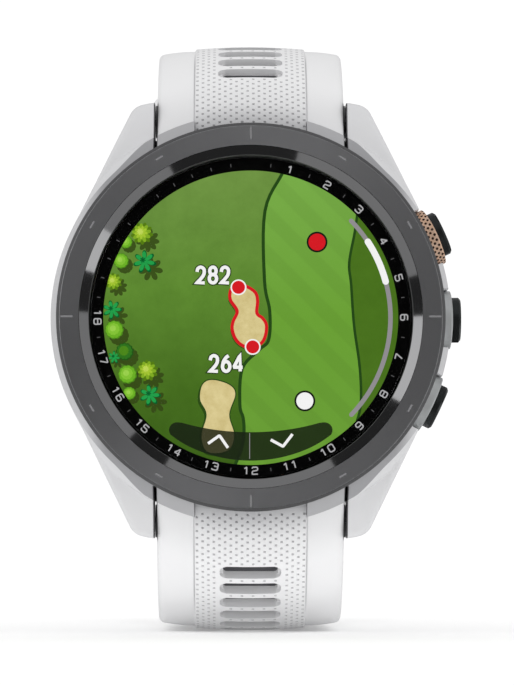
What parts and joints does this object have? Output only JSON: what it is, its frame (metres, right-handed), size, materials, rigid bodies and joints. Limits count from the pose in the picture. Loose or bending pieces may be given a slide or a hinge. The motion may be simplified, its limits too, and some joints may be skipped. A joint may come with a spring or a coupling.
{
  "type": "golf gps watch",
  "caption": "Round wrist watch with a flat cover lens over a lit golf map, side push buttons, a ringed bezel and an open silicone strap with a pin buckle.",
  "frame": {"origin": "centre of the skin-side face of the sensor window, on the dial's axis", "axes": "+Z towards 12 o'clock, +Y out of the back of the watch towards the wrist, +X towards 3 o'clock; the dial looks along -Y"},
  "size_m": [0.0433, 0.1119, 0.0642],
  "materials": {
    "white_polymer": "smooth satin moulding",
    "bezel_ceramic": "slate grey, fine turned brushing with a polished inner chamfer",
    "lens_glass": "polished cover glass",
    "black_print": "black printed ring with pale numerals",
    "display": null,
    "strap_silicone": "matt white silicone, dimpled on the raised middle",
    "button_black": "gloss black cap with a soft edge",
    "guard_bronze": "knurled rose bronze",
    "guard_silver": "satin silver",
    "steel": "brushed",
    "seal_rubber": "matt black",
    "dark_polymer": "fine spark-eroded grain",
    "circuit_board": "solder mask",
    "shield_tin": "tinned sheet",
    "battery_foil": "crimped foil pouch",
    "amber_film": "polyimide film",
    "gold_contact": "gold plated"
  },
  "bodies": {
    "head": {"middle_case": "white_polymer", "bezel": "bezel_ceramic", "bezel_gasket": "seal_rubber", "cover_lens": "lens_glass", "dial_ring": "black_print", "display_panel": "display", "inner_frame": "dark_polymer", "display_flex": "amber_film", "main_board": "circuit_board", "board_shield": "shield_tin", "battery": "battery_foil", "vibration_motor": "steel", "gps_antenna": "gold_contact", "back_cover": "dark_polymer", "sensor_window": "black_print", "sensor_light_shield": "dark_polymer", "sensor_board": "circuit_board", "back_gasket": "seal_rubber", "charge_port": "dark_polymer", "charge_contact_1": "gold_contact", "charge_contact_2": "gold_contact", "charge_contact_3": "gold_contact", "charge_contact_4": "gold_contact", "back_screw_1": "steel", "back_screw_2": "steel", "back_screw_3": "steel", "back_screw_4": "steel", "upper_button_guard": "guard_bronze", "upper_button_seal": "seal_rubber", "upper_button_spring": "steel", "middle_button_guard": "guard_silver", "middle_button_seal": "seal_rubber", "middle_button_spring": "steel", "lower_button_guard": "guard_silver", "lower_button_seal": "seal_rubber", "lower_button_spring": "steel", "upper_bar_tube": "steel", "upper_bar_spring": "steel", "lower_bar_tube": "steel", "lower_bar_spring": "steel"},
    "upper_strap": {"upper_strap_root": "strap_silicone"},
    "upper_strap_end": {"upper_strap_tail": "strap_silicone", "fixed_keeper": "strap_silicone"},
    "lower_strap": {"lower_strap_root": "strap_silicone"},
    "lower_strap_end": {"lower_strap_tail": "strap_silicone"},
    "buckle": {"buckle_frame": "steel", "buckle_bar": "steel"},
    "tongue": {"buckle_tongue": "steel"},
    "keeper": {"free_keeper": "strap_silicone"},
    "upper_button": {"upper_button_cap": "button_black", "upper_button_clip": "steel"},
    "middle_button": {"middle_button_cap": "button_black", "middle_button_clip": "steel"},
    "lower_button": {"lower_button_cap": "button_black", "lower_button_clip": "steel"},
    "upper_bar_latch": {"upper_bar_pin": "steel", "upper_bar_release": "steel"},
    "lower_bar_latch": {"lower_bar_pin": "steel", "lower_bar_release": "steel"}
  },
  "joints": [
    {"name": "upper_button_press", "type": "slide", "parent": "head", "child": "upper_button", "axis": [-0.9092, 0, -0.4163], "range_m": [0, 0.0006], "stiffness_N_per_m": 2500},
    {"name": "middle_button_press", "type": "slide", "parent": "head", "child": "middle_button", "axis": [-1, 0, 0], "range_m": [0, 0.0006], "stiffness_N_per_m": 2500},
    {"name": "lower_button_press", "type": "slide", "parent": "head", "child": "lower_button", "axis": [-0.9048, 0, 0.4258], "range_m": [0, 0.0006], "stiffness_N_per_m": 2500},
    {"name": "upper_strap_swing", "type": "hinge", "parent": "head", "child": "upper_strap", "pos_m": [0, -0.0043, 0.0214], "axis": [-1, 0, 0], "range_deg": [0, 8]},
    {"name": "lower_strap_swing", "type": "hinge", "parent": "head", "child": "lower_strap", "pos_m": [0, -0.0043, -0.0214], "axis": [1, 0, 0], "range_deg": [0, 8]},
    {"name": "upper_strap_bend", "type": "hinge", "parent": "upper_strap", "child": "upper_strap_end", "pos_m": [0, 0.01061, 0.02941], "axis": [-1, 0, 0], "range_deg": [-20, 5], "stiffness_Nm_per_rad": 0.15},
    {"name": "lower_strap_bend", "type": "hinge", "parent": "lower_strap", "child": "lower_strap_end", "pos_m": [0, 0.01276, -0.0318], "axis": [1, 0, 0], "range_deg": [0, 12], "stiffness_Nm_per_rad": 0.15},
    {"name": "keeper_slide", "type": "hinge", "parent": "upper_strap_end", "child": "keeper", "pos_m": [0, 0.00797, -0.05955], "axis": [1, 0, 0], "range_deg": [0, 4]},
    {"name": "buckle_swing", "type": "hinge", "parent": "upper_strap_end", "child": "buckle", "pos_m": [0, 0.05836, 0.0138], "axis": [1, 0, 0], "range_deg": [-15, 15]},
    {"name": "tongue_swing", "type": "hinge", "parent": "buckle", "child": "tongue", "pos_m": [0, 0.05836, 0.0138], "axis": [1, 0, 0], "range_deg": [0, 60]},
    {"name": "upper_bar_pull", "type": "slide", "parent": "head", "child": "upper_bar_latch", "axis": [-1, 0, 0], "range_m": [0, 0.0012], "stiffness_N_per_m": 600},
    {"name": "lower_bar_pull", "type": "slide", "parent": "head", "child": "lower_bar_latch", "axis": [-1, 0, 0], "range_m": [0, 0.0012], "stiffness_N_per_m": 600}
  ]
}
